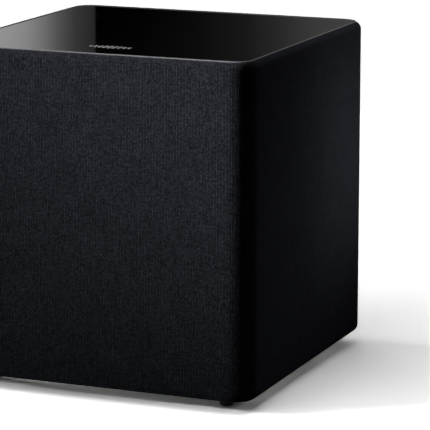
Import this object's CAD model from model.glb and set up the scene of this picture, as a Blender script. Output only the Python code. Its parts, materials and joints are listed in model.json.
"""Looks for a fabric-wrapped cube subwoofer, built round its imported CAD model.

Metres, +Z up, the front faces -Y. Order: shared helpers, stage, shader helpers, finishes,
mesh helpers, cloth, the driver's soft parts, wadding, seam and print, edge rounding, and last
the calls that put it all together.
"""

import json
import math

import bmesh
import bpy
import numpy as np
from mathutils import Matrix, Vector, noise


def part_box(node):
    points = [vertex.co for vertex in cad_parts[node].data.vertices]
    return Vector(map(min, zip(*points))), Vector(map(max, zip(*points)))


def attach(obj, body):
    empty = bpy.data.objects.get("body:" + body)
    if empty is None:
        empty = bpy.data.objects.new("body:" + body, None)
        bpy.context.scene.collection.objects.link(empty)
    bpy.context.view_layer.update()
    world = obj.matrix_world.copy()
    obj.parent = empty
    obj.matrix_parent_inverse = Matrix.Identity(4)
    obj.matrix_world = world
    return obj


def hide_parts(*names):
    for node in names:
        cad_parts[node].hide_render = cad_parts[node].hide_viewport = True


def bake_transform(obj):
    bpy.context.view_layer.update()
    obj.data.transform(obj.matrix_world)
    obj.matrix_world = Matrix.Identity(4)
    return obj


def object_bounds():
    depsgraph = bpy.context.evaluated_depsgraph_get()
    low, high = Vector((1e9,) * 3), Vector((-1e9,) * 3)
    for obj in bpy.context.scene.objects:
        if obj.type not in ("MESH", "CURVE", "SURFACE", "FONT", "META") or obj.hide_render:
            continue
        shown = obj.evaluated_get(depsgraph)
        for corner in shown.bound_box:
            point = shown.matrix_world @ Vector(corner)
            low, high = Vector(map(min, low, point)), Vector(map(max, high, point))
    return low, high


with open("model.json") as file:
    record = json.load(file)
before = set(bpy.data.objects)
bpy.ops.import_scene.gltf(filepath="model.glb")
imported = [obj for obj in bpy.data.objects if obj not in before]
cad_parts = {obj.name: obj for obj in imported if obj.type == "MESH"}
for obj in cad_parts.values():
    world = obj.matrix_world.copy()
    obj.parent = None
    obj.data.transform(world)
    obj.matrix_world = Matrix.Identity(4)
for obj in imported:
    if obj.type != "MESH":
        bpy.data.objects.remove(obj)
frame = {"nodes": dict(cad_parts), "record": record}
CAD_BOX = [list(corner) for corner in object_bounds()]
MM = 0.001

# ---- Sizes, taken from the frame or repeated from the CAD ----

BEAD_PROUD = 0.5 * MM    # how far the trim bead stands above the cloth
HALF_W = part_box("fabric_sleeve")[1].x
HALF_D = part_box("fabric_sleeve")[1].y
BODY_LO = 13 * MM    # the cloth starts this far above the floor, on the feet
BODY_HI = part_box("top_trim_bead")[1].z - BEAD_PROUD
CORNER_R = 24 * MM
ROLL_R = 8 * MM
CLOTH_T = 0.9 * MM
CLOTH_LIP = HALF_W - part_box("top_trim_bead")[1].x
AMP_LO, AMP_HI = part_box("amp_plate")
AMP_MID = (AMP_LO + AMP_HI) / 2
AMP_FACE = AMP_HI.y
DRIVER_Z = AMP_MID.z
BAFFLE_FRONT = -145 * MM
MIDDLE = (Vector(CAD_BOX[0]) + Vector(CAD_BOX[1])) / 2


# ---- Shared helpers ----

def link(made):
    bpy.context.scene.collection.objects.link(made)
    return made


def aim(placed, target):
    placed.rotation_euler = (Vector(target) - placed.location).to_track_quat("-Z", "Y").to_euler()


def around(heading, elevation, distance):
    """A point round the object: heading 0 is in front of it and 90 to its right."""
    a, e = math.radians(heading), math.radians(elevation)
    out = Vector((math.sin(a) * math.cos(e), -math.cos(a) * math.cos(e), math.sin(e)))
    return MIDDLE + out * distance


def new_tree(block):
    block.use_nodes = True
    block.node_tree.nodes.clear()
    return block.node_tree


def add(tree, kind, inputs=None, **settings):
    """Adds a shader node. An input's value is a number, a colour or another node's socket."""
    made = tree.nodes.new("ShaderNode" + kind)
    for name, value in settings.items():
        setattr(made, name, value)
    for name, value in (inputs or {}).items():
        if isinstance(value, bpy.types.NodeSocket):
            tree.links.new(value, made.inputs[name])
        else:
            made.inputs[name].default_value = value
    return made


def add_ramp(tree, value, stops):
    """Adds a colour ramp along a value; each stop is (position, colour)."""
    made = add(tree, "ValToRGB", {"Fac": value})
    elements = made.color_ramp.elements
    while len(elements) < len(stops):
        elements.new(1.0)
    for element, (position, colour) in zip(elements, stops):
        element.position = position
        element.color = (*colour, 1)
    return made.outputs["Color"]


# ---- Camera, light and floor ----

CAMERA_AT = (1.1124, -2.5369, 0.7442)
CAMERA_DIP = 11.946    # degrees below level
CAMERA_TURN = 22.454    # degrees to the left of straight ahead
CAMERA_LENS = 225.54    # millimetres, as is the sensor's width
CAMERA_SENSOR = 36
CLIP_END = 200


def studio_camera():
    """The photographed view: from the right of the front and a little above."""
    lens = bpy.data.cameras.new("camera")
    lens.sensor_width = CAMERA_SENSOR
    lens.lens = CAMERA_LENS
    lens.clip_end = CLIP_END
    camera = link(bpy.data.objects.new("camera", lens))
    camera.location = CAMERA_AT
    camera.rotation_euler = (math.radians(90 - CAMERA_DIP), 0, math.radians(CAMERA_TURN))
    bpy.context.scene.camera = camera


# Broad suns make the floor evenly white. Boxes with a narrow spread feather off across a face.
# name: heading, elevation and angular size in degrees, strength
SUNS = {
    "front_sun": (-40, 60, 50, 1.02),
    "back_sun": (200, 50, 60, 0.58),
}

# name: heading and elevation in degrees, distance, side, spread in degrees, watts, aim
BOXES = {
    "front_top": (-50, 20, 2.0, 0.5, 16, 4.45, (0.20, -0.17, 0.40)),
    "front_low": (-60, -4, 1.5, 0.14, 14, 0.12, (-0.14, -0.17, 0.07)),
    "left_low": (-80, 5, 1.0, 0.3, 16, 0.05, (-0.17, -0.17, 0.03)),
    "right_far": (100, 8, 1.5, 0.2, 10, 0.15, (0.17, 0.14, 0.22)),
    "right_near": (115, 25, 1.5, 0.3, 14, 0.10, (0.17, 0.05, 0.25)),
    "right_high": (150, 40, 1.5, 0.3, 16, 0.074, (0.17, 0.08, 0.30)),
    "rear": (190, 2, 1.6, 0.5, 18, 0.8, (0.0, 0.17, 0.22)),
    "left": (268, 4, 1.6, 0.4, 18, 0.9, (-0.17, 0.03, 0.20)),
}
SUN_DISTANCE = 3    # a sun's light is the same from anywhere


def place_light(name, lamp, location, target):
    placed = link(bpy.data.objects.new(name, lamp))
    placed.location = location
    placed.visible_glossy = False
    aim(placed, target)


def studio_lights():
    for name, (heading, elevation, angle, strength) in SUNS.items():
        lamp = bpy.data.lights.new(name, "SUN")
        lamp.angle = math.radians(angle)
        lamp.energy = strength
        place_light(name, lamp, around(heading, elevation, SUN_DISTANCE), MIDDLE)
    for name, (heading, elevation, distance, size, spread, watts, target) in BOXES.items():
        lamp = bpy.data.lights.new(name, "AREA")
        lamp.size = size
        lamp.spread = math.radians(spread)
        lamp.energy = watts
        place_light(name, lamp, around(heading, elevation, distance), target)


GLOW_LOW, GLOW_HIGH = 0.12, 0.6
GLOW_HEIGHT = 0.9    # the glow is full where a direction's Z reaches this


def studio_world():
    """A white backdrop for the camera, and a soft glow for shiny surfaces, brighter overhead."""
    world = bpy.data.worlds.new("studio")
    bpy.context.scene.world = world
    tree = new_tree(world)
    direction = add(tree, "TexCoord").outputs["Generated"]
    height = add(tree, "SeparateXYZ", {"Vector": direction}).outputs["Z"]
    levels = {0: height, 1: 0.0, 2: GLOW_HEIGHT, 3: GLOW_LOW, 4: GLOW_HIGH}
    glow = add(tree, "MapRange", levels).outputs[0]
    dim = add(tree, "Background", {"Strength": glow})
    white = add(tree, "Background", {"Strength": 1.0})
    rays = add(tree, "LightPath").outputs
    shiny = add(tree, "MixShader", {0: rays["Is Glossy Ray"], 2: dim.outputs[0]})
    both = add(tree, "MixShader",
               {0: rays["Is Camera Ray"], 1: shiny.outputs[0], 2: white.outputs[0]})
    add(tree, "OutputWorld", {"Surface": both.outputs[0]})


FLOOR_GAIN = 2.5
FLOOR_HALF = 40


def studio_floor():
    """Plain white paper, over-exposed as in a cut-out, and clear from below to show the feet."""
    mesh = bpy.data.meshes.new("floor")
    r = FLOOR_HALF
    mesh.from_pydata([(-r, -r, 0), (r, -r, 0), (r, r, 0), (-r, r, 0)], [], [(0, 1, 2, 3)])
    floor = link(bpy.data.objects.new("floor", mesh))
    material = bpy.data.materials.new("floor_paper")
    tree = new_tree(material)
    paper = add(tree, "BsdfDiffuse", {"Color": (FLOOR_GAIN, FLOOR_GAIN, FLOOR_GAIN, 1)})
    clear = add(tree, "BsdfTransparent")
    below = add(tree, "NewGeometry").outputs["Backfacing"]
    both = add(tree, "MixShader", {0: below, 1: paper.outputs[0], 2: clear.outputs[0]})
    add(tree, "OutputMaterial", {"Surface": both.outputs[0]})
    mesh.materials.append(material)
    floor.visible_diffuse = False
    floor.visible_glossy = False


# The top plate mirrors only what stands low behind the object: a black flag with a faint glow at
# its right, and a grey card at its left. Ends are in degrees from the camera's axis; glows are
# (share across the card from its left end, level).
CARD_DISTANCE = 6.0
CARD_FOOT, CARD_TOP = 0.1, 1.6
CARD_OUTER, CARD_MEET = 7.52, -2.563
CARDS = {
    "card_left": (-CARD_OUTER, CARD_MEET, [
        (0, 0.66), (0.6, 0.62), (0.7, 0.51), (0.77, 0.345), (0.84, 0.17), (0.91, 0.077),
        (1, 0.038)]),
    "card_right": (CARD_MEET, CARD_OUTER, [
        (0, 0), (0.1, 0.001), (0.22, 0.006), (0.32, 0.018), (0.39, 0.043), (0.46, 0.082),
        (0.5, 0.098), (1, 0.16)]),
}


def studio_cards():
    """Stands the cards behind the object, where only polished surfaces see them."""
    for name, (left, right, glow) in CARDS.items():
        corners = []
        for turn, height in ((left, CARD_FOOT), (right, CARD_FOOT),
                             (right, CARD_TOP), (left, CARD_TOP)):
            heading = math.radians(CAMERA_TURN - turn)
            x = CAMERA_AT[0] - math.sin(heading) * CARD_DISTANCE
            y = CAMERA_AT[1] + math.cos(heading) * CARD_DISTANCE
            corners.append((x, y, height))
        mesh = bpy.data.meshes.new(name)
        mesh.from_pydata(corners, [], [(0, 1, 2, 3)])
        layer = mesh.uv_layers.new(name="across")
        for corner, uv in zip(layer.data, ((0, 0), (1, 0), (1, 1), (0, 1))):
            corner.uv = uv
        material = bpy.data.materials.new(name)
        tree = new_tree(material)
        place = add(tree, "UVMap", uv_map="across").outputs[0]
        across = add(tree, "SeparateXYZ", {"Vector": place}).outputs[0]
        colour = add_ramp(tree, across, [(share, (level,) * 3) for share, level in glow])
        shine = add(tree, "Emission", {"Color": colour})
        add(tree, "OutputMaterial", {"Surface": shine.outputs[0]})
        mesh.materials.append(material)
        card = link(bpy.data.objects.new(name, mesh))
        for ray in ("camera", "diffuse", "transmission", "volume_scatter", "shadow"):
            setattr(card, "visible_" + ray, False)


# ---- Shader helpers ----

class Finish:
    """A material under construction: a Principled shader fed by procedural nodes."""

    def __init__(self, name, **sockets):
        self.material = bpy.data.materials.new(name)
        self.tree = new_tree(self.material)
        self.shader = add(self.tree, "BsdfPrincipled")
        for socket, value in sockets.items():
            self.shader.inputs[socket.replace("_", " ")].default_value = value
        add(self.tree, "OutputMaterial", {"Surface": self.shader.outputs[0]})
        self.place = add(self.tree, "TexCoord").outputs["Object"]

    def add(self, kind, inputs=None, **settings):
        return add(self.tree, kind, inputs, **settings)

    def feed(self, socket, source):
        self.tree.links.new(source, self.shader.inputs[socket])

    def stretched(self, x, y, z, place=None):
        """The surface's coordinates, scaled apart along each axis."""
        return self.add("Mapping", {"Vector": place or self.place, "Scale": (x, y, z)}).outputs[0]

    def noise(self, scale, detail=2.0, rough=0.5, place=None, bend=0.0):
        inputs = {"Vector": place or self.place, "Scale": scale, "Detail": detail,
                  "Roughness": rough, "Distortion": bend}
        return self.add("TexNoise", inputs).outputs[0]

    def math(self, operation, a, b=0.0):
        return self.add("Math", {0: a, 1: b}, operation=operation).outputs[0]

    def mix(self, a, share_a, b, share_b):
        """The sum of two values, each taken by its share."""
        return self.math("ADD", self.math("MULTIPLY", a, share_a),
                         self.math("MULTIPLY", b, share_b))

    def wave(self, value, turn):
        """A sine of a value; turn is the angle in radians that one unit makes."""
        return self.math("SINE", self.math("MULTIPLY", value, turn))

    def remap(self, value, low, high, start=0.0, end=1.0):
        """Takes start..end of a value to low..high, and holds it there."""
        return self.add("MapRange", {0: value, 1: start, 2: end, 3: low, 4: high}).outputs[0]

    def ramp(self, value, *stops):
        """Colours along a value; each stop is (position, colour)."""
        return add_ramp(self.tree, value, stops)

    def blend(self, share, a, b):
        return self.add("Mix", {0: share, 6: a, 7: b}, data_type="RGBA").outputs[2]

    def bump(self, height, distance, strength=1.0):
        inputs = {"Height": height, "Distance": distance, "Strength": strength}
        return self.add("Bump", inputs).outputs["Normal"]

    def split(self, place=None):
        return self.add("SeparateXYZ", {"Vector": place or self.place}).outputs


def grained(name, dark, light, rough, tone=30, grain=2500, depth=0.02 * MM, **sockets):
    """A finish whose tone, roughness and surface all vary a little: moulded, painted or plated.

    Tone and grain are noise scales, broad and fine; depth is how deep the grain is.
    """
    made = Finish(name, **sockets)
    broad = made.noise(tone, 3, 0.6)
    fine = made.noise(grain, 2, 0.6)
    mixed = made.mix(broad, 0.65, fine, 0.35)
    made.feed("Base Color", made.ramp(mixed, (0.3, dark), (0.7, light)))
    made.feed("Roughness", made.remap(made.noise(tone * 2.7, 4, 0.6), *rough, 0.3, 0.7))
    made.feed("Normal", made.bump(fine, depth))
    return made.material


def grey(level, blue=0.04):
    """A grey that leans a little to blue."""
    return (level, level, level * (1 + blue))


# ---- Finishes that need a pattern of their own ----

RIB_PITCH = 1.6 * MM
COURSE_PITCH = 1.25 * MM
CLOTH_DARK = (0.00074, 0.00076, 0.00094)
CLOTH_LIGHT = (0.01094, 0.01157, 0.01392)


def knitted_cloth():
    """Ribbed acoustic knit. Ribs run upright in pairs, half a loop out of step with each other."""
    made = Finish("cabinet_cloth", Specular_IOR_Level=0.01, Sheen_Weight=0.06, Sheen_Roughness=0.4,
                  Sheen_Tint=(0.72, 0.78, 1.0, 1))
    place = made.add("UVMap", uv_map="cloth").outputs[0]
    sway = made.math("MULTIPLY", made.noise(45, 2, 0.5, place), 1.2)
    axes = made.split(place)
    rib = made.math("ADD", made.math("DIVIDE", axes[0], RIB_PITCH), sway)
    odd = made.math("FLOORED_MODULO", made.math("FLOOR", rib), 2.0)
    course = made.math("ADD", made.math("DIVIDE", axes[1], COURSE_PITCH),
                       made.math("MULTIPLY", odd, 0.5))
    across = made.math("ABSOLUTE", made.wave(rib, math.pi))
    along = made.math("ABSOLUTE", made.wave(course, math.pi))
    loop = made.math("MULTIPLY", made.math("POWER", across, 0.6), made.remap(along, 0.6, 1.0))
    fuzz = made.noise(2200, 3, 0.7, place)
    yarn = made.mix(loop, 0.75, fuzz, 0.5)
    tone = made.ramp(yarn, (0.15, CLOTH_DARK), (1.0, CLOTH_LIGHT))
    streak = made.noise(1.0, 3, 0.75, made.stretched(560, 60, 1, place))
    speck = made.noise(560, 3, 0.75, place)
    cloud = made.noise(30, 4, 0.6, place)
    stitch = made.add("CombineXYZ", {0: made.math("FLOOR", rib), 1: made.math("FLOOR", course)})
    chance = made.add("TexWhiteNoise", {"Vector": stitch.outputs[0]}).outputs["Value"]
    shade = made.math("MULTIPLY", made.remap(streak, 0.7, 1.3, 0.3, 0.7),
                      made.remap(chance, 0.52, 1.48))
    slub = made.noise(1.0, 2, 0.6, made.stretched(110, 330, 1, place))
    for spread, low, high in ((speck, 0.65, 1.35), (slub, 0.8, 1.2), (cloud, 0.9, 1.1)):
        shade = made.math("MULTIPLY", shade, made.remap(spread, low, high, 0.3, 0.7))
    shade = made.math("MULTIPLY", shade, made.remap(odd, 0.87, 1.13))
    shaded = made.add("VectorMath", {0: tone, "Scale": shade}, operation="SCALE").outputs[0]
    made.feed("Base Color", shaded)
    made.feed("Roughness", made.remap(fuzz, 0.78, 0.95))
    height = made.math("ADD", loop, made.math("MULTIPLY", fuzz, 0.35))
    made.feed("Normal", made.bump(height, 0.3 * MM, 0.7))
    return made.material


def gloss_black():
    """Polished acrylic with faint wipe marks."""
    made = Finish("gloss_black", IOR=1.49)
    wiped = made.noise(1.0, 4, 0.6, made.stretched(9, 30, 1))
    made.feed("Base Color", made.ramp(wiped, (0.3, grey(0.0006)), (0.7, grey(0.0012))))
    made.feed("Roughness", made.remap(wiped, 0.02, 0.055, 0.35, 0.7))
    made.feed("Normal", made.bump(made.noise(25, 1, 0.4), 0.004 * MM))
    return made.material


def fibreboard():
    """Pressed wood fibre: a fine speckle with short fibres in it."""
    made = Finish("fibreboard", Specular_IOR_Level=0.3)
    fibres = made.noise(1.0, 5, 0.75, made.stretched(900, 900, 260))
    dust = made.noise(3200, 2, 0.7)
    cloud = made.noise(14, 3, 0.5)
    mixed = made.mix(fibres, 0.6, dust, 0.4)
    tone = made.ramp(mixed, (0.3, (0.22, 0.135, 0.07)), (0.55, (0.40, 0.27, 0.155)),
                     (0.75, (0.52, 0.38, 0.24)))
    made.feed("Base Color", made.blend(made.remap(cloud, 0, 0.25), tone, (0.33, 0.215, 0.12, 1)))
    made.feed("Roughness", made.remap(fibres, 0.75, 0.95, 0.3, 0.7))
    made.feed("Normal", made.bump(mixed, 0.08 * MM))
    return made.material


TURNING_PITCH = 0.35 * MM


def turned_metal(name, dark, light, rough, centre):
    """Plated metal with the fine rings that turning leaves about an axis along Y."""
    made = Finish(name, Metallic=1.0)
    shift = made.add("VectorMath", {0: made.place, 1: centre}, operation="SUBTRACT").outputs[0]
    x, _, z = made.split(shift)
    square = made.math("ADD", made.math("POWER", x, 2.0), made.math("POWER", z, 2.0))
    rings = made.wave(made.math("SQRT", square), 2 * math.pi / TURNING_PITCH)
    blot = made.noise(55, 4, 0.6)
    made.feed("Base Color", made.ramp(blot, (0.3, dark), (0.7, light)))
    made.feed("Roughness", made.remap(blot, *rough, 0.3, 0.7))
    made.feed("Normal", made.bump(made.math("ADD", rings, made.noise(3000, 2, 0.5)), 0.006 * MM))
    return made.material


def brushed_metal(name, dark, light, rough, stretch):
    """Metal with drawn or extruded lines along one axis."""
    made = Finish(name, Metallic=1.0)
    lines = made.noise(1.0, 4, 0.7, made.stretched(*stretch))
    blot = made.noise(40, 3, 0.6)
    tone = made.mix(lines, 0.5, blot, 0.5)
    made.feed("Base Color", made.ramp(tone, (0.35, dark), (0.65, light)))
    made.feed("Roughness", made.remap(lines, *rough, 0.3, 0.7))
    made.feed("Normal", made.bump(lines, 0.02 * MM))
    return made.material


WIRE_PITCH = 0.4 * MM


def wound_copper():
    """Enamelled wire in close turns along the driver's axis."""
    made = Finish("copper", Metallic=1.0, Coat_Weight=0.5, Coat_Roughness=0.15)
    turns = made.math("ABSOLUTE", made.wave(made.split()[1], math.pi / WIRE_PITCH))
    made.feed("Base Color", made.ramp(turns, (0.0, (0.16, 0.05, 0.02)), (0.7, (0.72, 0.32, 0.16))))
    made.feed("Roughness", made.remap(made.noise(300, 3), 0.22, 0.4))
    made.feed("Normal", made.bump(turns, 0.15 * MM))
    return made.material


def circuit_board():
    """Green solder resist over straight copper tracks, with a scatter of tinned pads."""
    made = Finish("circuit_board", Coat_Weight=0.3, Coat_Roughness=0.2)
    x, _, z = made.split()
    flat = made.add("CombineXYZ", {"X": x, "Y": z}).outputs[0]
    cells = made.add("TexVoronoi", {"Vector": flat, "Scale": 95}, distance="CHEBYCHEV")
    runs = made.math("PINGPONG", made.math("MULTIPLY", cells.outputs["Distance"], 6.0), 0.5)
    tracks = made.remap(runs, 0, 1, 0.22, 0.28)
    dots = made.add("TexVoronoi", {"Vector": flat, "Scale": 210, "Randomness": 0.35})
    pads = made.remap(dots.outputs["Distance"], 1, 0, 0.17, 0.2)
    resist = made.blend(tracks, (0.008, 0.075, 0.03, 1), (0.02, 0.15, 0.055, 1))
    made.feed("Base Color", made.blend(pads, resist, (0.55, 0.55, 0.52, 1)))
    made.feed("Roughness", made.remap(made.noise(120, 3), 0.3, 0.45))
    made.feed("Normal", made.bump(made.math("ADD", tracks, pads), 0.05 * MM))
    return made.material


THREAD_PITCH = 0.9 * MM


def woven_disc():
    """Open cotton weave, stiffened with resin, across the driver's axis."""
    made = Finish("spider_cloth", Sheen_Weight=0.2)
    x, _, z = made.split()
    turn = 2 * math.pi / THREAD_PITCH
    cross = made.math("MULTIPLY", made.wave(x, turn), made.wave(z, turn))
    blot = made.noise(60, 4, 0.6)
    tone = made.mix(made.remap(cross, 0, 1, -1, 1), 0.55, blot, 0.45)
    made.feed("Base Color", made.ramp(tone, (0.25, (0.20, 0.10, 0.03)), (0.75, (0.52, 0.33, 0.13))))
    made.feed("Roughness", made.remap(blot, 0.5, 0.8, 0.3, 0.7))
    made.feed("Normal", made.bump(cross, 0.12 * MM))
    return made.material


def loose_fibre():
    """Crimped polyester fibres, matted into a soft sheet."""
    made = Finish("wadding", Sheen_Weight=0.6, Sheen_Roughness=0.5, Subsurface_Weight=0.15,
                  Subsurface_Scale=0.004)
    bent = made.noise(90, 3, 0.6)
    strands = made.noise(620, 6, 0.75, bend=2.5)
    tone = made.mix(bent, 0.4, strands, 0.6)
    made.feed("Base Color", made.ramp(tone, (0.3, (0.52, 0.50, 0.45)), (0.7, (0.86, 0.85, 0.81))))
    made.feed("Roughness", made.remap(strands, 0.85, 1.0))
    made.feed("Normal", made.bump(tone, 1.2 * MM, 0.8))
    return made.material


def pressed_pulp():
    """Coated paper pulp, with fibres lying every way."""
    made = Finish("cone_paper", Specular_IOR_Level=0.35)
    fibres = made.noise(480, 6, 0.7, bend=1.5)
    cloud = made.noise(28, 3, 0.5)
    tone = made.mix(fibres, 0.6, cloud, 0.4)
    dark, light = (0.012, 0.012, 0.0125), (0.045, 0.045, 0.046)
    made.feed("Base Color", made.ramp(tone, (0.3, dark), (0.7, light)))
    made.feed("Roughness", made.remap(fibres, 0.55, 0.85, 0.3, 0.7))
    made.feed("Normal", made.bump(fibres, 0.14 * MM))
    return made.material


# ---- The finish of each material slot ----

DULL = dict(Specular_IOR_Level=0.4)

# slot: dark and light colour, lowest and highest roughness, and what else differs from the usual
GRAINED = {
    "trim_grey": (grey(0.26, 0), grey(0.36, 0), (0.16, 0.26), dict(Metallic=0.8)),
    "badge_silver": (grey(0.5), grey(0.68), (0.3, 0.45), dict(Metallic=0.8)),
    "moulded_black": (grey(0.014), grey(0.028), (0.45, 0.62), dict(depth=0.05 * MM, **DULL)),
    "painted_board": (grey(0.012), grey(0.024), (0.6, 0.8),
                      dict(grain=900, depth=0.06 * MM, **DULL)),
    "foot_rubber": (grey(0.010, 0), grey(0.022, 0), (0.6, 0.8),
                    dict(grain=1800, depth=0.03 * MM, **DULL)),
    "zinc_steel": ((0.45, 0.46, 0.47), (0.66, 0.66, 0.64), (0.25, 0.42),
                   dict(tone=160, Metallic=1.0)),
    "black_screw": (grey(0.02), grey(0.05), (0.32, 0.5), dict(tone=220, Metallic=0.7)),
    "basket_paint": (grey(0.014, 0), grey(0.026, 0), (0.38, 0.55),
                     dict(grain=1400, depth=0.05 * MM, **DULL)),
    "soft_gasket": (grey(0.02, 0), grey(0.05, 0), (0.85, 1.0),
                    dict(grain=1500, depth=0.2 * MM, **DULL)),
    "surround_rubber": (grey(0.010, 0), grey(0.018, 0), (0.38, 0.55),
                        dict(tone=45, grain=1600, depth=0.015 * MM, **DULL)),
    "coil_former": ((0.35, 0.2, 0.04), (0.62, 0.42, 0.13), (0.2, 0.35), dict(tone=90)),
    "ferrite": (grey(0.03, 0), grey(0.085, 0), (0.4, 0.7),
                dict(tone=120, grain=1100, depth=0.08 * MM)),
    "contact_gold": ((0.62, 0.42, 0.13), (0.85, 0.63, 0.25), (0.16, 0.3),
                     dict(tone=200, Metallic=1.0)),
    "lead_red": ((0.22, 0.008, 0.006), (0.42, 0.02, 0.015), (0.35, 0.5), dict(tone=80)),
    "amp_paint": (grey(0.013), grey(0.025), (0.42, 0.6),
                  dict(grain=1500, depth=0.09 * MM, **DULL)),
    "winding_yellow": ((0.36, 0.23, 0.04), (0.62, 0.45, 0.12), (0.35, 0.5), dict(tone=90)),
    "capacitor_sleeve": ((0.01, 0.012, 0.035), (0.02, 0.024, 0.065), (0.15, 0.28), {}),
    "socket_white": ((0.66, 0.65, 0.60), (0.80, 0.79, 0.75), (0.35, 0.5), dict(tone=60)),
    "knob_black": (grey(0.012), grey(0.024), (0.42, 0.58), dict(depth=0.035 * MM, **DULL)),
    "slider_white": (grey(0.55), grey(0.70), (0.38, 0.55), dict(tone=90)),
    "led_amber": ((0.75, 0.26, 0.02), (0.95, 0.45, 0.05), (0.12, 0.2),
                  dict(tone=200, Transmission_Weight=0.3, Emission_Color=(1, 0.45, 0.06, 1),
                       Emission_Strength=0.6)),
    "print_white": (grey(0.55), grey(0.72), (0.5, 0.65), dict(tone=150)),
}


def all_finishes():
    made = {
        "cabinet_fabric": knitted_cloth(),
        "gloss_black": gloss_black(),
        "fibreboard": fibreboard(),
        "wadding": loose_fibre(),
        "cone_paper": pressed_pulp(),
        "spider_cloth": woven_disc(),
        "copper": wound_copper(),
        "circuit_board": circuit_board(),
        "motor_steel": turned_metal("motor_steel", (0.30, 0.31, 0.31), (0.47, 0.47, 0.45),
                                    (0.25, 0.4), centre=(0, 0, DRIVER_Z)),
        "sheet_steel": brushed_metal("sheet_steel", (0.4, 0.41, 0.42), (0.6, 0.6, 0.6),
                                     (0.25, 0.4), (60, 60, 2500)),
        "bare_aluminium": brushed_metal("bare_aluminium", (0.55, 0.56, 0.57),
                                        (0.75, 0.75, 0.75), (0.25, 0.42), (1800, 1800, 30)),
    }
    for slot, (dark, light, rough, rest) in GRAINED.items():
        made[slot] = grained(slot, dark, light, rough, **rest)
    return made


def dress(finishes):
    """Gives every CAD node the finish of its slot in the record."""
    for part in frame["record"]["subparts"]:
        mesh = frame["nodes"][part["node"]].data
        mesh.materials.clear()
        mesh.materials.append(finishes[part["material_slot"]])


# ---- Mesh helpers ----

def smooth(mesh):
    mesh.polygons.foreach_set("use_smooth", [True] * len(mesh.polygons))


def mesh_piece(name, vertices, faces, uvs=None):
    """A smooth-shaded mesh object; uvs has one pair for each vertex, in metres."""
    mesh = bpy.data.meshes.new(name)
    mesh.from_pydata([tuple(v) for v in vertices], [], faces)
    smooth(mesh)
    if uvs is not None:
        corner_vertex = np.empty(len(mesh.loops), np.int32)
        mesh.loops.foreach_get("vertex_index", corner_vertex)
        layer = mesh.uv_layers.new(name="cloth")
        layer.data.foreach_set("uv", np.asarray(uvs, np.float32)[corner_vertex].ravel())
    return link(bpy.data.objects.new(name, mesh))


def worked_piece(name, work):
    """A mesh object from a finished bmesh."""
    mesh = bpy.data.meshes.new(name)
    work.to_mesh(mesh)
    work.free()
    return link(bpy.data.objects.new(name, mesh))


def rework(made, change):
    """Runs a bmesh change over an object's mesh."""
    work = bmesh.new()
    work.from_mesh(made.data)
    change(work)
    work.to_mesh(made.data)
    work.free()
    return made


def thicken(made, thickness, offset):
    shell = made.modifiers.new("thickness", "SOLIDIFY")
    shell.thickness = thickness
    shell.offset = offset
    return shell


PATCH_WELD = 0.002 * MM


class Patchwork:
    """Grids of points that are joined where their edges meet."""

    def __init__(self):
        self.points, self.uvs, self.faces = [], [], []

    def grid(self, rows, uv_rows, flip=False):
        base, width = len(self.points), len(rows[0])
        for row, uv_row in zip(rows, uv_rows):
            self.points += row
            self.uvs += uv_row
        for j in range(len(rows) - 1):
            for i in range(width - 1):
                a = base + j * width + i
                quad = (a, a + 1, a + width + 1, a + width)
                self.faces.append(quad[::-1] if flip else quad)

    def piece(self, name):
        made = mesh_piece(name, self.points, self.faces, self.uvs)
        return rework(made, lambda work: bmesh.ops.remove_doubles(
            work, verts=work.verts, dist=PATCH_WELD))


# ---- The cloth sleeve ----

SEAM_GAP = 0.012 * MM
SEAM_STEPS = [SEAM_GAP, 0.4 * MM, 0.8 * MM, 1.4 * MM]    # columns close beside the seam
SEAM_DIP = 0.5 * MM
# how the cloth tucks in at the rear window: (distance out from the rim, depth below the wall)
TUCK_STEPS = [(0, 0.8 * MM), (0.35 * MM, 0.35 * MM), (0.9 * MM, 0.1 * MM), (2 * MM, 0)]
WINDOW_MARGIN = 3 * MM    # from the amplifier plate's edge to the rim
WINDOW_CORNER = 12 * MM
WINDOW_RINGS = 6
FLAT_COLUMNS = 48
CORNER_COLUMNS = 16
WALL_ROWS = 54
ROLL_ROWS = 9
ARC_STEPS = 4


def seam_dip(x):
    """How far the cloth turns in beside the seam."""
    return SEAM_DIP * max(0, 1 - x / SEAM_STEPS[-1]) ** 2


def spaced(start, end, steps):
    """The ends of equal steps, without the start."""
    return list(np.linspace(start, end, steps + 1)[1:])


def plan_columns():
    """[(point on the wall, outward normal, distance along the cloth)] round the plan."""
    flat_x, flat_y = HALF_W - CORNER_R, HALF_D - CORNER_R
    near_seam = SEAM_STEPS + spaced(SEAM_STEPS[-1], flat_x, FLAT_COLUMNS // 2)
    columns = [(Vector((-x, HALF_D)), Vector((0, 1)), x) for x in near_seam]
    run = flat_x
    arc = math.pi / 2 * CORNER_R
    corners = [(-flat_x, flat_y), (-flat_x, -flat_y), (flat_x, -flat_y), (flat_x, flat_y)]
    sides = [2 * flat_y, 2 * flat_x, 2 * flat_y]
    for k, centre in enumerate(corners):
        for i in range(1, CORNER_COLUMNS + 1):
            a = math.pi / 2 * (1 + k + i / CORNER_COLUMNS)
            normal = Vector((math.cos(a), math.sin(a)))
            spot = Vector(centre) + CORNER_R * normal
            columns.append((spot, normal, run + arc * i / CORNER_COLUMNS))
        run += arc
        if k < 3:
            start, normal, _ = columns[-1]
            along = Vector((-normal.y, normal.x))
            for i in range(1, FLAT_COLUMNS + 1):
                step = sides[k] * i / FLAT_COLUMNS
                columns.append((start + along * step, normal, run + step))
            run += sides[k]
    total = run + flat_x
    columns += [(Vector((x, HALF_D)), Vector((0, 1)), total - x) for x in reversed(near_seam[:-1])]
    return columns, total


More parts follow.
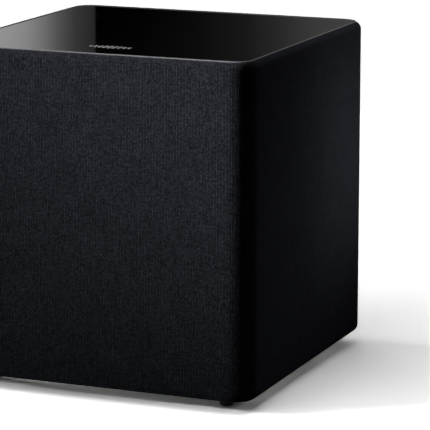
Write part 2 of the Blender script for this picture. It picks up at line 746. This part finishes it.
def roll_rows(top):
    """[(distance in from the wall, height, distance along the cloth)], round one edge roll."""
    last = math.acos((ROLL_R - CLOTH_LIP) / ROLL_R)
    rows = []
    for i in range(ROLL_ROWS + 1):
        a = last * i / ROLL_ROWS
        inset, rise = ROLL_R * (1 - math.cos(a)), ROLL_R * math.sin(a)
        height = BODY_HI - ROLL_R + rise if top else BODY_LO + ROLL_R - rise
        rows.append((inset, height, ROLL_R * a))
    return rows


def window_half(grow):
    """Half the grown outline of the rear window, from its top middle to its bottom middle."""
    half_w = (AMP_HI.x - AMP_LO.x) / 2 + WINDOW_MARGIN + grow
    half_h = (AMP_HI.z - AMP_LO.z) / 2 + WINDOW_MARGIN + grow
    r = WINDOW_CORNER + grow
    straight = half_w - r
    across = SEAM_STEPS + spaced(SEAM_STEPS[-1], straight, FLAT_COLUMNS // 2 - ARC_STEPS)
    quarter = [(x, half_h) for x in across]
    for i in range(1, 2 * ARC_STEPS + 1):
        a = math.pi / 2 * (1 - i / (2 * ARC_STEPS))
        quarter.append((straight + r * math.cos(a), half_h - r + r * math.sin(a)))
    side_rows = WALL_ROWS // 2 - ARC_STEPS
    quarter += [(half_w, (half_h - r) * (1 - i / side_rows)) for i in range(1, side_rows + 1)]
    return quarter + [(x, -z) for x, z in reversed(quarter[:-1])]


def cloth_sleeve():
    """One knitted cloth round all four sides, with its ends butted in a seam at the back."""
    columns, total = plan_columns()
    wall_lo, wall_hi = BODY_LO + ROLL_R, BODY_HI - ROLL_R
    lip = roll_rows(True)[-1][2]
    wall_v = [lip + (wall_hi - wall_lo) * j / WALL_ROWS for j in range(WALL_ROWS + 1)]

    def place(column, inset, height):
        point, normal, run = column
        dip = seam_dip(min(run, total - run))
        flat = point - normal * (inset + dip)
        return (flat.x, flat.y, height)

    def rows_of(cols, rows):
        return ([[place(c, inset, z) for c in cols] for inset, z, _ in rows],
                [[(c[2], v) for c in cols] for _, _, v in rows])

    cloth = Patchwork()
    bottom = [(inset, z, lip - s) for inset, z, s in reversed(roll_rows(False))]
    top = [(inset, z, wall_v[-1] + s) for inset, z, s in roll_rows(True)]
    cloth.grid(*rows_of(columns, bottom))
    cloth.grid(*rows_of(columns, top))
    back = len(SEAM_STEPS) + FLAT_COLUMNS // 2 - 1
    wall = [(0, wall_lo + v - lip, v) for v in wall_v]
    cloth.grid(*rows_of(columns[back:-back], wall))

    # the back wall runs in rings, from the window's tucked-in rim out to the wall's own edge
    flat_x = HALF_W - CORNER_R
    middle = DRIVER_Z
    edge = [(c[2], wall_hi - middle) for c in columns[:back + 1]]
    edge += [(flat_x, wall_hi - middle - (wall_hi - wall_lo) * j / WALL_ROWS)
             for j in range(1, WALL_ROWS + 1)]
    edge += [(c[2], wall_lo - middle) for c in reversed(columns[:back])]
    rings = [(window_half(grow), dip) for grow, dip in TUCK_STEPS]
    rim = rings[-1][0]
    for k in range(1, WINDOW_RINGS + 1):
        t = k / WINDOW_RINGS
        ring = [(a[0] + (b[0] - a[0]) * t, a[1] + (b[1] - a[1]) * t) for a, b in zip(rim, edge)]
        rings.append((ring, 0))
    for side in (-1, 1):
        rows = [[(side * x, HALF_D - max(dip, seam_dip(x)), middle + z) for x, z in ring]
                for ring, dip in rings]
        uv_rows = [[(x if side < 0 else total - x, lip + middle + z - wall_lo) for x, z in ring]
                   for ring, _ in rings]
        cloth.grid(rows, uv_rows, flip=side > 0)
    sleeve = cloth.piece("cloth_sleeve")
    thicken(sleeve, CLOTH_T, -1).use_even_offset = True
    return sleeve, total, wall_v[-1] + lip


# ---- The driver's soft parts ----

TURNED_SLICES = 144
SURROUND_ROLL = (107 * MM, 9 * MM, 1.2 * MM)    # middle radius, roll radius, thickness
SURROUND_EDGES = (92 * MM, 120 * MM)
SURROUND_FLEX = (98 * MM, 116 * MM)    # the rubber gives between these two radii
SURROUND_STEPS = 24
SURROUND_BEAD = 0.25 * MM    # how wide and high the moulded beads are
SURROUND_LIPS = (3 * MM, 1 * MM)    # from the inner and the outer edge to where the lip thins
SURROUND_THIN = 0.7    # the outer edge's share of the thickness
SPIDER_EDGES = (25.5 * MM, 72 * MM)
SPIDER_WAVES = (31 * MM, 65 * MM, 4, 2.2 * MM)    # from, to, how many, how high
SPIDER_STEPS = 64
SPIDER_DEPTH = -64 * MM
SPIDER_T = 0.8 * MM


def turned(name, profile):
    """A closed profile of (radius, height in front of the baffle) swept about the driver's axis."""
    points, faces = [], []
    n = len(profile)
    for k in range(TURNED_SLICES):
        a = 2 * math.pi * k / TURNED_SLICES
        points += [(r * math.cos(a), BAFFLE_FRONT - h, DRIVER_Z + r * math.sin(a))
                   for r, h in profile]
        after = (k + 1) % TURNED_SLICES * n
        for i in range(n):
            j = (i + 1) % n
            faces.append((k * n + i, k * n + j, after + j, after + i))
    made = mesh_piece(name, points, faces)
    return rework(made, lambda work: bmesh.ops.recalc_face_normals(work, faces=work.faces))


def flex(piece, inner, outer):
    """The piece follows the cone inside one radius and the cabinet outside another."""
    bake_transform(piece)


def surround():
    """A half roll of rubber, with a bead moulded along each foot of the roll."""
    middle, roll, thick = SURROUND_ROLL
    first, last = SURROUND_EDGES
    outside, inside = [], []
    for i in range(SURROUND_STEPS + 1):
        a = math.pi * (1 - i / SURROUND_STEPS)
        for side, grow in ((outside, thick / 2), (inside, -thick / 2)):
            side.append((middle + (roll + grow) * math.cos(a), (roll + grow) * math.sin(a)))
    bead = SURROUND_BEAD
    inner_lip, outer_lip = SURROUND_LIPS
    over = [(first, thick), (first + inner_lip, thick + bead), (outside[0][0] - bead, thick)]
    over += outside[1:-1]
    over += [(outside[-1][0] + bead, thick), (last - outer_lip, thick),
             (last, thick * SURROUND_THIN)]
    under = [(last, 0), (inside[-1][0], 0)] + inside[-2:0:-1] + [(inside[0][0], 0), (first, 0)]
    return turned("surround_roll", over + under)


def spider():
    """The corrugated centring disc behind the cone."""
    start, end, waves, high = SPIDER_WAVES
    inner, outer = SPIDER_EDGES
    radii = [start + (end - start) * k / SPIDER_STEPS for k in range(SPIDER_STEPS + 1)]
    front = []
    for r in [inner, *radii, outer]:
        wave = 0
        if start < r < end:
            wave = math.sin(2 * math.pi * waves * (r - start) / (end - start))
        front.append((r, SPIDER_DEPTH + high * wave + SPIDER_T))
    return turned("spider_disc", front + [(r, h - SPIDER_T) for r, h in reversed(front)])


# ---- Wadding ----

BATT_CUTS = 51
BATT_ROUND = 0.95    # the edges' radius, as a share of half the batt's thickness
BATT_LUMP = (22.0, 5.0 * MM)    # lumps to a metre, how deep
BATT_TUFT = (95.0, 1.3 * MM)
BATT_SEED = 7.3


def wadding_batt(name, low, high, seed):
    """A loose batt: rounded at its edges, lumpy and a little slack on its face."""
    work = bmesh.new()
    bmesh.ops.create_cube(work, size=2)
    bmesh.ops.subdivide_edges(work, edges=work.edges, cuts=BATT_CUTS, use_grid_fill=True)
    half, middle = (high - low) / 2, (high + low) / 2
    r = min(half) * BATT_ROUND
    for vertex in work.verts:
        p = Vector(a * b for a, b in zip(vertex.co, half))
        core = Vector(max(-h + r, min(h - r, c)) for c, h in zip(p, half))
        out = (p - core).normalized()
        p = core + out * min((p - core).length, r)
        # both noises run from about -1 to 1; only what sinks below the full shape counts
        lump = noise.noise((p + middle) * BATT_LUMP[0] + Vector((seed, 0, 0)))
        tuft = noise.noise((p + middle) * BATT_TUFT[0] + Vector((0, seed, 0)))
        sink = BATT_LUMP[1] * (0.35 + 0.65 * lump) + BATT_TUFT[1] * (0.5 + tuft)
        vertex.co = middle + p - out * max(sink, 0)
    made = worked_piece(name, work)
    smooth(made.data)
    return made


def wadding():
    """Four batts, one in each bay of each side wall."""
    corners = [v.co for v in frame["nodes"]["damping_wadding"].data.vertices]
    xs, ys, zs = (sorted({round(c[k], 5) for c in corners}) for k in range(3))
    made = []
    for x in ((xs[0], xs[1]), (xs[-2], xs[-1])):
        for y in ((ys[0], ys[1]), (ys[-2], ys[-1])):
            low, high = Vector((x[0], y[0], zs[0])), Vector((x[1], y[1], zs[-1]))
            name = f"wadding_batt_{len(made) + 1}"
            made.append(wadding_batt(name, low, high, BATT_SEED * len(made)))
    return made


# ---- Seam, print and inlays ----

BAR_ROUND = 0.22    # a bar's edge radius, as a share of its thickness


def bars_piece(name, bars):
    """Small rounded bars as one mesh. Each is (middle, along, across, out, *size)."""
    work = bmesh.new()
    for middle, along, across, out, length, width, thick in bars:
        new = bmesh.ops.create_cube(work, size=1)["verts"]
        place = Matrix((along * length, across * width, out * thick)).transposed()
        for vertex in new:
            vertex.co = middle + place @ vertex.co
    bmesh.ops.recalc_face_normals(work, faces=work.faces)
    bmesh.ops.bevel(work, geom=list(work.edges), offset=BAR_ROUND * min(b[6] for b in bars),
                    segments=2, affect="EDGES", profile=0.5)
    made = worked_piece(name, work)
    smooth(made.data)
    return made


STITCH_PITCH = 3.2 * MM
STITCH_SIZE = (2.9 * MM, 0.55 * MM, 0.5 * MM)
STITCH_SLANT = 0.35
STITCH_SINK = 0.15 * MM    # how far a stitch's middle lies below the cloth's face
STITCHES_OVER_ROLL = 3
SEAM_STOP = 5 * MM    # from the amplifier plate's edge to the nearest stitches


def seam_stitches():
    """Slanted stitches that draw the cloth's two ends together, above and below the window."""
    gap = (AMP_HI.z - AMP_LO.z) / 2 + SEAM_STOP
    spots = []    # (point on the seam, outward normal)
    for low, high in ((BODY_LO + ROLL_R, DRIVER_Z - gap), (DRIVER_Z + gap, BODY_HI - ROLL_R)):
        count = int((high - low) / STITCH_PITCH)
        for k in range(count + 1):
            z = low + (high - low) * (k + 0.5) / (count + 1)
            spots.append((Vector((0, HALF_D, z)), Vector((0, 1, 0))))
    turn = STITCH_PITCH / ROLL_R
    for k in range(STITCHES_OVER_ROLL):
        a = turn * (k + 0.5)
        for side, centre in ((1, BODY_HI - ROLL_R), (-1, BODY_LO + ROLL_R)):
            out = Vector((0, math.cos(a), side * math.sin(a)))
            spots.append((Vector((0, HALF_D - ROLL_R, centre)) + out * ROLL_R, out))
    bars = []
    for spot, out in spots:
        up = Vector((-1, 0, 0)).cross(out)
        along = (Vector((1, 0, 0)) + up * STITCH_SLANT).normalized()
        bars.append((spot - out * STITCH_SINK, along, out.cross(along), out, *STITCH_SIZE))
    return bars_piece("seam_stitches", bars)


NUMERAL_R = 21.2 * MM    # from a knob's axis
NUMERAL_SIZE = 3.2 * MM
NUMERAL_SWEEP = 150    # degrees each way from straight up
NUMERAL_WELD = 0.0005 * MM
PRINT_T = 0.12 * MM
SCALES = {"volume_knob": range(0, 11, 2), "crossover_knob": range(40, 141, 20)}


def dial_numbers():
    """Plain numerals at every other tick round both knobs."""
    parts = []
    for node, numbers in SCALES.items():
        low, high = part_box(node)
        middle = (low + high) / 2
        for k, number in enumerate(numbers):
            a = math.radians(NUMERAL_SWEEP * (2 * k / (len(numbers) - 1) - 1))
            text = bpy.data.curves.new("numeral", "FONT")
            text.body, text.size, text.extrude = str(number), NUMERAL_SIZE, PRINT_T / 2
            text.align_x, text.align_y, text.resolution_u = "CENTER", "CENTER", 4
            shown = link(bpy.data.objects.new("numeral", text))
            bpy.context.view_layer.update()
            shaped = shown.evaluated_get(bpy.context.evaluated_depsgraph_get())
            mesh = bpy.data.meshes.new_from_object(shaped)
            bpy.data.objects.remove(shown)
            bpy.data.curves.remove(text)
            # seen from behind the cabinet, -X is to the right
            spot = Vector((middle.x - NUMERAL_R * math.sin(a), AMP_FACE + PRINT_T / 2,
                           middle.z + NUMERAL_R * math.cos(a)))
            facing = Matrix(((-1, 0, 0), (0, 0, 1), (0, 1, 0)))
            mesh.transform(Matrix.Translation(spot) @ facing.to_4x4())
            parts.append(mesh)
    work = bmesh.new()
    for mesh in parts:
        work.from_mesh(mesh)
        bpy.data.meshes.remove(mesh)
    bmesh.ops.remove_doubles(work, verts=work.verts, dist=NUMERAL_WELD)
    return worked_piece("dial_numbers", work)


POINTER_SIZE = (9.6 * MM, 1.1 * MM, 0.5 * MM)
POINTER_PLACE = (7.3 * MM, 0.3 * MM)    # out from the knob's axis, below its face
ROCKER_MARK_RISE = 3.6 * MM
ROCKER_RING = (1.25 * MM, 1.65 * MM)    # inner and outer radius
ROCKER_BAR = (0.22 * MM, 1.6 * MM)    # half its width and half its height
ROCKER_PRINT = (0.1 * MM, 0.05 * MM)    # thickness, how far its middle stands proud
RING_SEGMENTS = 32
RAY_START = 10 * MM    # how far above the rocker the search for its face begins


def knob_pointer(name, node):
    """A white bar let into the groove of a knob."""
    low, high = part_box(node)
    middle = (low + high) / 2
    spot = Vector((middle.x, high.y - POINTER_PLACE[1], middle.z + POINTER_PLACE[0]))
    up, across, out = Vector((0, 0, 1)), Vector((1, 0, 0)), Vector((0, 1, 0))
    return bars_piece(name, [(spot, up, across, out, *POINTER_SIZE)])


def rocker_marks():
    """A bar and a ring on the two halves of the power rocker."""
    node = frame["nodes"]["power_rocker"]
    low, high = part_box("power_rocker")
    middle = (low + high) / 2
    inner, outer = ROCKER_RING
    thick, proud = ROCKER_PRINT
    work = bmesh.new()
    for rise, ring in ((ROCKER_MARK_RISE, False), (-ROCKER_MARK_RISE, True)):
        above = Vector((middle.x, high.y + RAY_START, middle.z + rise))
        spot, out = node.ray_cast(above, Vector((0, -1, 0)))[1:3]
        across = Vector((1, 0, 0))
        up = out.cross(across)
        if ring:
            new = bmesh.ops.create_circle(work, segments=RING_SEGMENTS, radius=inner)["verts"]
            edges = [e for e in work.edges if e.verts[0] in new]
            made = bmesh.ops.extrude_edge_only(work, edges=edges)["geom"]
            for vertex in [g for g in made if isinstance(g, bmesh.types.BMVert)]:
                vertex.co *= outer / inner
                new.append(vertex)
        else:
            new = bmesh.ops.create_grid(work, x_segments=1, y_segments=1, size=1)["verts"]
            for vertex in new:
                vertex.co = Vector((vertex.co.x * ROCKER_BAR[0], vertex.co.y * ROCKER_BAR[1], 0))
        for vertex in new:
            flat = vertex.co.copy()
            vertex.co = spot + across * flat.x + up * flat.y + out * proud
    marks = worked_piece("rocker_marks", work)
    thicken(marks, thick, 0)
    return marks


# ---- Edge rounding ----

# The radius on the hard parts' edges, in millimetres.
EDGES = {
    "gloss_top_plate": 0.35, "base_cover": 0.6, "rear_frame": 0.5, "amp_plate": 0.4,
    "volume_knob": 0.3, "crossover_knob": 0.3, "power_rocker": 0.4, "switch_frame": 0.3,
    "speaker_terminals": 0.35, "mains_inlet": 0.35, "phase_slider": 0.25, "eq_slider": 0.25,
    "mode_slider": 0.25, "line_in_sockets": 0.15, "amp_screws": 0.15, "terminal_screws": 0.12,
    "line_in_insulators": 0.2, "heat_sink": 0.2, "transformer": 0.5, "driver_basket": 0.4,
    "magnet_rings": 0.6, "front_pole_plate": 0.4, "pole_yoke": 0.4, "driver_screws": 0.15,
}
EDGE_WELD = 0.001 * MM
FLAT_WITHIN = 0.5    # degrees: faces that lie this close to one plane become one
SHARP_OVER = 32    # degrees: only edges that turn more than this are rounded


def soften(node, width):
    """Rounds a CAD node's edges, once its split vertices are welded and its flat faces whole."""
    weld = node.modifiers.new("weld", "WELD")
    weld.merge_threshold = EDGE_WELD
    flats = node.modifiers.new("flats", "DECIMATE")
    flats.decimate_type = "DISSOLVE"
    flats.angle_limit = math.radians(FLAT_WITHIN)
    bevel = node.modifiers.new("edges", "BEVEL")
    bevel.width = width
    bevel.segments = 2
    bevel.limit_method = "ANGLE"
    bevel.angle_limit = math.radians(SHARP_OVER)


# ---- Putting it together ----


def put(piece, body, slot, *nodes):
    """Gives a piece its finish, its body and the CAD nodes that it stands for."""
    if not piece.data.materials:
        piece.data.materials.append(finishes[slot])
    if body:
        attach(piece, body)
    if nodes:
        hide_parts(*nodes)


studio_camera()
studio_lights()
studio_world()
studio_floor()
studio_cards()
bpy.context.scene.view_settings.view_transform = "Standard"
finishes = all_finishes()
dress(finishes)
for node, width in EDGES.items():
    soften(frame["nodes"][node], width * MM)

sleeve, sleeve_w, sleeve_h = cloth_sleeve()
put(sleeve, "cabinet", "cabinet_fabric", "fabric_sleeve")
put(seam_stitches(), "cabinet", "cabinet_fabric")

roll = surround()
put(roll, None, "surround_rubber", "cone_surround")
flex(roll, *SURROUND_FLEX)
disc = spider()
put(disc, None, "spider_cloth", "spider")
flex(disc, SPIDER_WAVES[0], SPIDER_WAVES[1])
for batt in wadding():
    put(batt, "cabinet", "wadding", "damping_wadding")

put(dial_numbers(), "cabinet", "print_white")
put(knob_pointer("volume_pointer", "volume_knob"), "volume", "print_white")
put(knob_pointer("crossover_pointer", "crossover_knob"), "crossover", "print_white")
put(rocker_marks(), "rocker", "print_white")
